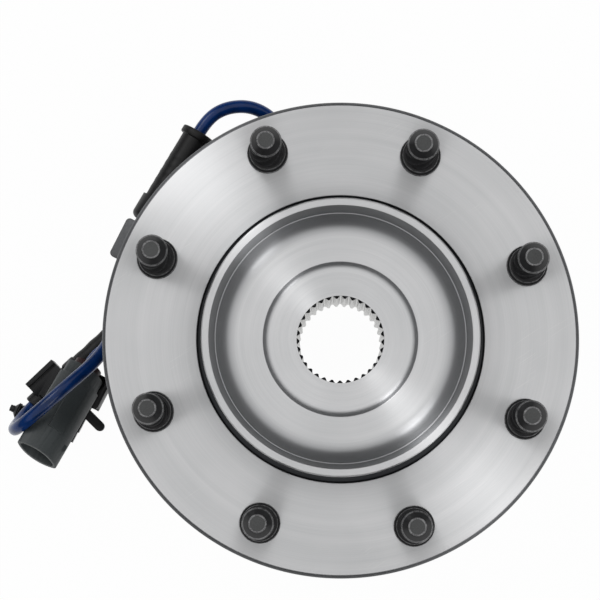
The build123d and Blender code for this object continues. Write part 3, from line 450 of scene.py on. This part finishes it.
def studSurface(stud):
    # radius = profile's radius - threadDepth * fade * groove, where groove is 0 on a crest and 1 in
    # a root: the ridge's distance from the crest, made steeper and clipped to 0..1
    pitch, first, last = stud["threadPitch"], stud["threadStart"], stud["threadEnd"]
    z = np.linspace(first, last, int((last - first) / pitch * stud["rowsPerTurn"]))
    body = np.stack([np.full_like(z, stud["crestRadius"]), z], axis=-1)
    profile = np.vstack([stud["shank"], body, stud["tip"]])
    theta = np.arange(stud["columns"]) / stud["columns"] * tau
    # thread: a 60 degree ridge that climbs one pitch per turn, and fades in and out
    phase = profile[:, 1:] / pitch - theta[None, :] / tau
    ridge = np.abs((phase % 1.0) - 0.5) * 2
    fade = np.clip((profile[:, 1:] - first) / stud["threadFade"], 0, 1)
    fade = fade * np.clip((last - profile[:, 1:]) / stud["threadFade"], 0, 1)
    groove = np.clip(ridge * stud["ridgeSlope"] - stud["crestShare"], 0, 1)
    radius = profile[:, :1] - stud["threadDepth"] * fade * groove
    height = np.broadcast_to(profile[:, 1:], radius.shape)
    # materials: 0 coated, 1 painted highlight, 2 sheared
    slots = np.zeros(len(profile) - 1, int)
    tipStart = len(stud["shank"]) + len(body)
    slots[stud["highlightShank"]] = 1
    slots[tipStart + np.array(stud["highlightTip"])] = 1
    slots[stud["highlightEnd"]] = 1
    slots[-stud["shearedEnd"]:] = 2
    return np.stack([radius * np.cos(theta), radius * np.sin(theta), height], axis=-1), slots


oneStud, studSlots = studSurface(stud)
studPieces = []
for number in range(stud["count"]):
    angle = math.radians(stud["firstAngle"]) + number * tau / stud["count"]
    centre = np.array([math.cos(angle), math.sin(angle), 0]) * stud["circleRadius"]
    studPieces.append(gridMesh("wheel_stud_%d" % (number + 1), (oneStud + centre) * mm,
                               [phosphateSteel, edgeHighlightSteel, shearedSteel], slots=studSlots))
for piece in studPieces:
    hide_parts("wheel_studs")
    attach(piece, "hub")
print("studs made")


# lead: the control points of the smooth curve, in mm
lead = {"diameter": 6.2, "length": 488.0}
leadRoute = np.array([
    (-68.1, 98.9, -50), (-64.297, 105.595, -50), (-55.8, 111.3, -50.8), (-44.2, 112.6, -53.2),
    (-33.9, 107.9, -57.8), (-27.6, 98.6, -63.8), (-27.2, 87.8, -70.2), (-32.6, 79.3, -76.6),
    (-41.8, 75.0, -81.6), (-53.5, 75.4, -84.3), (-66.5, 76.6, -84.85), (-79.0, 68.0, -84.85),
    (-89.0, 54.5, -83.4), (-96.8, 40.0, -79.0), (-102.4, 24.5, -72.0), (-106.2, 5.8, -62.5),
    (-112.6, -8.4, -51.0), (-127.4, -22.6, -42.2), (-142.6, -36.9, -40.6), (-150.8, -42.4, -50.0),
    (-153.1, -41.2, -67.5), (-148.0, -32.4, -78.2), (-136.0, -20.6, -79.8), (-123.4, -8.0, -81.7),
    (-109.6, 5.6, -83.65), (-106.1, 14.6, -84.6), (-105.2, 24.2, -84.85), (-98.4, 30.8, -84.85),
    (-88.9, 32.6, -84.85), (-79.7, 29.1, -84.85), (-73.9, 21.0, -84.85), (-73.4, 11.1, -84.85),
    (-78.3, 2.5, -84.5), (-88.0, -1.8, -83.2), (-99.6, 1.6, -80.6), (-106.6, 0.66, -78.4),
    (-112.4, -2.46, -76.0), (-117.335, -7.442, -73.305), (-120.4, -13.7, -69.8),
]) * mm


def smoothCurve(name, route, radius):
    # a tube round the quadratic B-spline that has the route as its control points
    curve = bpy.data.curves.new(name, "CURVE")
    curve.dimensions = "3D"
    spline = curve.splines.new("NURBS")
    spline.points.add(len(route) - 1)
    weighted = np.hstack([route, np.ones((len(route), 1))])
    spline.points.foreach_set("co", weighted.astype(np.float32).ravel())
    spline.order_u = 3
    spline.use_endpoint_u = True
    curve.resolution_u = 12
    curve.bevel_depth = radius
    curve.bevel_resolution = 8
    curve.use_fill_caps = True
    piece = bpy.data.objects.new(name, curve)
    bpy.context.scene.collection.objects.link(piece)
    return piece


leadPiece = smoothCurve("sensor_lead", leadRoute, lead["diameter"] / 2 * mm)
leadPiece.data.materials.append(blueJacket)
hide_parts("sensor_cable")
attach(leadPiece, "housing")
print("lead made")


def alongAxis(name, profile, origin, axis, columns, materials):
    # a turned profile (station, radius) laid along any axis: origin + station * axis
    # + radius * (side cos + up sin)
    axis = np.array(axis) / np.linalg.norm(axis)
    side = np.cross((0, 0, 1), axis)
    side = side / np.linalg.norm(side)
    up = np.cross(axis, side)
    theta = np.arange(columns) / columns * tau
    ring = side * np.cos(theta)[:, None] + up * np.sin(theta)[:, None]
    stations = np.array(origin) + profile[:, :1] * axis
    points = stations[:, None, :] + profile[:, 1][:, None, None] * ring[None]
    lengths = profileLengths(profile) * mm
    return gridMesh(name, points * mm, materials, lengths=lengths)


# boot: rubber moulded on the lead, a collar at its mouth and five soft ribs by the sensor's head
boot = {
    "exit": (-68.1, 98.9, -50.0), "heading": 240.4, "length": 37.5, "radius": 6.55,
    "collarRadius": 8.0, "collarLength": 3.5, "ribRadius": 6.64, "ribPitch": 4.5, "ribCount": 5,
    "ribShare": 0.42, "lastRib": 3.0, "rows": 90, "columns": 48,
}


def bootProfile(boot):
    # raised-cosine ribs: rib height times (1 + cos) / 2 about each rib's middle
    station = np.linspace(boot["collarLength"] + 0.3, boot["length"], boot["rows"])
    lastMiddle = boot["length"] - boot["lastRib"] - boot["ribPitch"] / 4
    middles = lastMiddle - np.arange(boot["ribCount"]) * boot["ribPitch"]
    away = np.min(np.abs(station[:, None] - middles[None, :]), axis=1)
    rise = (1 + np.cos(np.clip(away / (boot["ribPitch"] * boot["ribShare"]), 0, 1) * math.pi)) / 2
    body = boot["radius"] + (boot["ribRadius"] - boot["radius"]) * rise
    collar, edge = boot["collarRadius"], boot["collarLength"]
    mouth = np.array([(1.2, 0), (1.2, 3.05), (0.5, 3.4), (0.05, 4.4), (0, 7.4), (0.18, 7.8),
                      (0.6, collar), (edge - 0.6, collar), (edge - 0.15, 7.8), (edge, 7.4),
                      (edge + 0.05, 6.75)])
    tail = np.array([(boot["length"], 0)])
    return np.vstack([mouth, np.stack([station, body], -1), tail])


bootHeading = math.radians(boot["heading"])
bootPiece = alongAxis("lead_boot", bootProfile(boot), boot["exit"],
                      (math.cos(bootHeading), math.sin(bootHeading), 0), boot["columns"],
                      [blackRubber])
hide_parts("sensor_boot")
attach(bootPiece, "housing")
print("boot made")


# sleeve: soft rubber over the lead, a thick nose and a collar each side of the clip block, and a
# slack wavy tail; its closed ends lie inside the lead
sleeve = {
    "start": 3.2, "radius": 4.3, "endRadius": 5.0, "noseLength": 5.5, "collarStart": 22.7,
    "collarEnd": 29.7, "length": 49.8, "waveHeight": 0.12, "waveLength": 9.0, "tailRows": 40,
    "columns": 40, "firstPoint": 21, "lastPoint": 24,
}


def sleeveProfile(sleeve):
    # tail radius: the sleeve's own, plus waveHeight times sin(2 pi station / waveLength)
    radius, big, length = sleeve["radius"], sleeve["endRadius"], sleeve["length"]
    nose, first, last = sleeve["noseLength"], sleeve["collarStart"], sleeve["collarEnd"]
    front = np.array([(0.9, 0), (0.9, 3.0), (0.3, 3.3), (0, 3.9), (0, 4.5), (0.3, big - 0.1),
                      (1.0, big), (nose - 0.9, big), (nose - 0.3, big - 0.15), (nose, radius + 0.1),
                      (nose + 0.4, radius)])
    collar = np.array([(first - 0.2, radius), (first, radius + 0.15), (first + 0.4, big - 0.1),
                       (first + 1.1, big), (last - 1.1, big), (last - 0.4, big - 0.1),
                       (last, radius + 0.15)])
    station = np.linspace(last + 0.6, length - 1.2, sleeve["tailRows"])
    waves = np.sin((station - last) / sleeve["waveLength"] * tau) * sleeve["waveHeight"]
    tail = np.stack([station, radius + waves], -1)
    back = np.array([(length - 0.5, radius - 0.25), (length, 3.6), (length - 0.2, 3.1),
                     (length - 0.6, 2.9), (length - 0.6, 0)])
    return np.vstack([front, collar, tail, back])


# the sleeve lies along the straight run between two of the lead's control points
runStart = leadRoute[sleeve["firstPoint"]] / mm
runEnd = leadRoute[sleeve["lastPoint"]] / mm
runAxis = (runEnd - runStart) / np.linalg.norm(runEnd - runStart)
sleevePiece = alongAxis("lead_sleeve", sleeveProfile(sleeve), runStart + runAxis * sleeve["start"],
                        runAxis, sleeve["columns"], [blackRubber])
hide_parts("cable_sleeve")
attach(sleevePiece, "housing")
print("sleeve made")


# moulded pieces and the bracket: the node's own surface, its edges rounded as a mould or a press
# leaves them, so that they catch a line of light; the last number is the rounding in mm
softEdges = {
    "connector_shell": ("connector_housing", greyNylon, "grey_nylon", 0.35),
    "clip_block": ("cable_clip", blackNylon, "black_nylon", 0.35),
    "push_mount": ("mounting_clip", blackNylon, "black_nylon", 0.25),
    "lead_bracket": ("cable_bracket", dippedSteel, "grey_steel", 0.3),
    "sensor_head": ("sensor_body", blackNylon, "black_nylon", 0.3),
}
# triangles within flatDeg of each other are one face, and edges sharper than edgeDeg are rounded
rounding = {"mergeMm": 0.001, "flatDeg": 2, "edgeDeg": 32, "segments": 2}


def softEdgedCopy(name, node, material, widthMm):
    shell = bmesh.new()
    shell.from_mesh(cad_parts[node].data)
    bmesh.ops.remove_doubles(shell, verts=shell.verts, dist=rounding["mergeMm"] * mm)
    bmesh.ops.dissolve_limit(shell, angle_limit=math.radians(rounding["flatDeg"]),
                             verts=shell.verts, edges=shell.edges)
    mesh = bpy.data.meshes.new(name)
    shell.to_mesh(mesh)
    shell.free()
    mesh.materials.append(material)
    mesh.shade_smooth()
    piece = bpy.data.objects.new(name, mesh)
    bpy.context.scene.collection.objects.link(piece)
    edge = piece.modifiers.new("rounded_edges", "BEVEL")
    edge.width = widthMm * mm
    edge.segments = rounding["segments"]
    edge.limit_method = "ANGLE"
    edge.angle_limit = math.radians(rounding["edgeDeg"])
    edge.use_clamp_overlap = True
    edge.harden_normals = True
    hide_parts(node)
    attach(piece, "housing")


for name, (node, material, slotName, widthMm) in softEdges.items():
    softEdgedCopy(name, node, material, widthMm)
print("soft edges made")


# push pin: ball tip and soft domed ribs over the plain ones of the mounting clip
pin = {
    "tip": (-157.3, -30.9, -84.0), "heading": -21.3, "ballRadius": 1.75, "ballShare": 0.86,
    "ribRadius": 4.0, "ribPitch": 2.0, "ribCount": 5, "ribTaper": 0.35, "ribPower": 0.7,
    "rootRadius": 2.5, "neck": 0.2, "length": 12.9, "rowsPerPart": 10, "columns": 32,
}


def pinProfile(pin):
    # ball: radius times sin over a half turn; ribs: root plus rise times |sin| to the ribPower
    rows, ballRadius, root = pin["rowsPerPart"], pin["ballRadius"], pin["rootRadius"]
    half = np.linspace(0, pin["ballShare"], rows) * math.pi
    ball = np.stack([ballRadius * (1 - np.cos(half)), ballRadius * np.sin(half)], -1)
    station = np.linspace(0, pin["ribCount"] * pin["ribPitch"], pin["ribCount"] * rows + 1)
    rise = pin["ribRadius"] - pin["ribTaper"] * station / pin["ribPitch"] - root
    ribs = root + rise * np.abs(np.sin(station / pin["ribPitch"] * math.pi)) ** pin["ribPower"]
    body = np.stack([station + ball[-1, 0] + pin["neck"], ribs], -1)
    return np.vstack([ball, body, [(pin["length"], root), (pin["length"], 0)]])


pinHeading = math.radians(pin["heading"])
pinPiece = alongAxis("push_pin", pinProfile(pin), pin["tip"],
                     (math.cos(pinHeading), math.sin(pinHeading), 0), pin["columns"], [blackNylon])
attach(pinPiece, "housing")
print("pin made")


# every CAD node has the material of what it is made of, also where a piece above stands for it
nodeMaterials = {
    "wheel_hub": turnedFaceSteel, "bearing_housing": forgedSteel,
    "outboard_inner_ring": groundSteel, "inboard_inner_ring": groundSteel,
    "tone_ring": pressedSteel, "outboard_rollers": groundSteel,
    "inboard_rollers": groundSteel, "outboard_cage": pressedSteel, "inboard_cage": pressedSteel,
    "outboard_slinger": pressedSteel, "inboard_slinger": pressedSteel,
    "outboard_seal_case": pressedSteel, "inboard_seal_case": pressedSteel,
    "outboard_seal_lip": blackRubber, "inboard_seal_lip": blackRubber,
    "sensor_body": blackNylon, "sensor_o_ring": blackRubber, "sensor_screw": pressedSteel,
    "cable_bracket": dippedSteel, "bracket_screw": pressedSteel, "cable_sleeve": blackRubber,
    "cable_clip": blackNylon, "mounting_clip": blackNylon, "connector_housing": greyNylon,
    "connector_seal": redSilicone, "connector_terminals": tinnedBrass,
    "wheel_studs": phosphateSteel, "sensor_boot": blackRubber, "sensor_cable": blueJacket,
}
for node, material in nodeMaterials.items():
    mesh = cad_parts[node].data
    mesh.materials.clear()
    mesh.materials.append(material)
print("node materials set")


# floor, light and camera; the floor's size is in metres, and floorWhite is the share of plain
# white in it where it is seen
studio = {
    "floorHeight": -88.0, "floorGap": 0.05, "floorSize": 6.0, "floorGrey": 0.9,
    "floorRoughness": 0.9, "floorSpecular": 0.1, "floorWhite": 0.975, "worldDiffuse": 0.62,
}


def seenRay(tree):
    # 1 for the camera's rays and those by way of metal or glass, 0 for the light on the part
    ray = addNode(tree, "ShaderNodeLightPath").outputs
    seen = ray["Is Camera Ray"]
    for kind in ("Is Glossy Ray", "Is Transmission Ray"):
        seen = addNode(tree, "ShaderNodeMath", {0: seen, 1: ray[kind]}, operation="MAXIMUM")
        seen = seen.outputs[0]
    return seen


def studioFloor(studio):
    # pale paper, just below white where it is seen, so that the part's shadow shows on it
    half, z = studio["floorSize"] / 2, (studio["floorHeight"] - studio["floorGap"]) * mm
    corners = np.array([[(-half, -half, z), (half, -half, z)], [(-half, half, z), (half, half, z)]])
    material, tree, shader = startMaterial("pale_paper_floor", 0.0)
    shader.inputs["Roughness"].default_value = studio["floorRoughness"]
    shader.inputs["Specular IOR Level"].default_value = studio["floorSpecular"]
    shader.inputs["Base Color"].default_value = grey(studio["floorGrey"])
    fac = addNode(tree, "ShaderNodeMath", {0: seenRay(tree), 1: studio["floorWhite"]},
                  operation="MULTIPLY")
    white = addNode(tree, "ShaderNodeEmission", {"Color": grey(1.0), "Strength": 1.0})
    both = addNode(tree, "ShaderNodeMixShader", {
        0: fac.outputs[0], 1: shader.outputs[0], 2: white.outputs[0]})
    tree.links.new(both.outputs[0], tree.nodes["Material Output"].inputs["Surface"])
    floor = gridMesh("studio_floor", corners, [material], closedAcross=False)


studioFloor(studio)


def studioWorld(studio):
    # white where it is seen, dimmer as light on the part
    world = bpy.data.worlds.new("studio")
    bpy.context.scene.world = world
    world.use_nodes = True
    tree = world.node_tree
    back = tree.nodes["Background"]
    level = addNode(tree, "ShaderNodeMapRange", {
        "Value": seenRay(tree), "To Min": studio["worldDiffuse"], "To Max": 1.0})
    tree.links.new(level.outputs["Result"], back.inputs["Strength"])
    back.inputs["Color"].default_value = grey(1.0)


studioWorld(studio)

# place in metres, width and height in metres, watts; each faces the middle of the flange
softBoxes = {
    "key_softbox": ((-0.75, 0.85, 0.9), (0.42, 0.6), 2.5),
    "strip_light": ((-0.62, 0.79, 0.9), (0.04, 0.6), 0.4),
    "fill_softbox": ((0.8, -0.7, 0.8), (0.3, 0.6), 1.7),
}


def softBox(name, place, size, watts):
    lamp = bpy.data.lights.new(name, "AREA")
    lamp.shape = "RECTANGLE"
    lamp.size, lamp.size_y = size
    lamp.energy = watts
    box = bpy.data.objects.new(name, lamp)
    bpy.context.scene.collection.objects.link(box)
    box.location = place
    box.rotation_euler = (-Vector(place)).to_track_quat("-Z", "Y").to_euler()


for name, (place, size, watts) in softBoxes.items():
    softBox(name, place, size, watts)

# a dark curtain round the set, in metres, seen by polished metal only: its top edge, in degrees
# above the table, rises behind and in front of the part and is open at two places
surround = {
    "radius": 0.9, "lowest": -0.08, "columns": 180, "colour": "242424", "roughness": 0.9,
    "edgeDeg": 30,
    "rises": [(95, 20, 12), (275, 22, 12)],  # azimuth, width and height in degrees
    "gaps": [(128, 6), (309, 3)],  # azimuth and width in degrees
}


def darkSurround(surround):
    # edge = edgeDeg + height * exp(-(away / width)^2) for each rise, times
    # 1 - exp(-(away / width)^4) for each gap; the top is radius * tan(edge)
    azimuth = np.linspace(0, 360, surround["columns"] + 1)[:-1]

    def away(middle):
        return np.abs((azimuth - middle + 180) % 360 - 180)

    edge = np.full(len(azimuth), float(surround["edgeDeg"]))
    for middle, width, rise in surround["rises"]:
        edge = edge + rise * np.exp(-(away(middle) / width) ** 2)
    for middle, width in surround["gaps"]:
        edge = edge * (1 - np.exp(-(away(middle) / width) ** 4))
    radius, turn = surround["radius"], np.radians(azimuth)
    ring = np.stack([radius * np.cos(turn), radius * np.sin(turn)], -1)
    points = np.stack([np.column_stack([ring, np.full(len(ring), surround["lowest"])]),
                       np.column_stack([ring, radius * np.tan(np.radians(edge))])])
    material, _, shader = startMaterial("dark_curtain", 0.0)
    shader.inputs["Base Color"].default_value = hexColour(surround["colour"])
    shader.inputs["Roughness"].default_value = surround["roughness"]
    curtain = gridMesh("studio_curtain", points, [material])
    curtain.visible_camera = False
    curtain.visible_shadow = False
    curtain.visible_diffuse = False


darkSurround(surround)

# where the camera stands and what it aims at, in mm, its lens in mm and its roll in radians
view = {
    "place": (-5.822, -74.858, 1200.0), "aim": (-18.520, 17.089, 0.0), "roll": 0.0201380434,
    "lens": 160.67, "sensorWidth": 36.0, "clipEnd": 50,
}


def viewCamera(view):
    # right and up are square to the line of sight, then rolled: right cos + up sin, and
    # up cos - right sin
    data = bpy.data.cameras.new("view")
    data.sensor_fit = "HORIZONTAL"
    data.sensor_width = view["sensorWidth"]
    data.lens = view["lens"]
    data.clip_end = view["clipEnd"]
    camera = bpy.data.objects.new("view", data)
    bpy.context.scene.collection.objects.link(camera)
    place, aim = Vector(view["place"]) * mm, Vector(view["aim"]) * mm
    forward = (aim - place).normalized()
    right = forward.cross(Vector((0, 1, 0))).normalized()
    up = right.cross(forward)
    roll = view["roll"]
    rolledRight = right * math.cos(roll) + up * math.sin(roll)
    rolledUp = up * math.cos(roll) - right * math.sin(roll)
    turn = Matrix((rolledRight, rolledUp, -forward)).transposed()
    camera.matrix_world = Matrix.Translation(place) @ turn.to_4x4()
    bpy.context.scene.camera = camera


viewCamera(view)
bpy.context.scene.view_settings.view_transform = "Standard"
print("studio made")
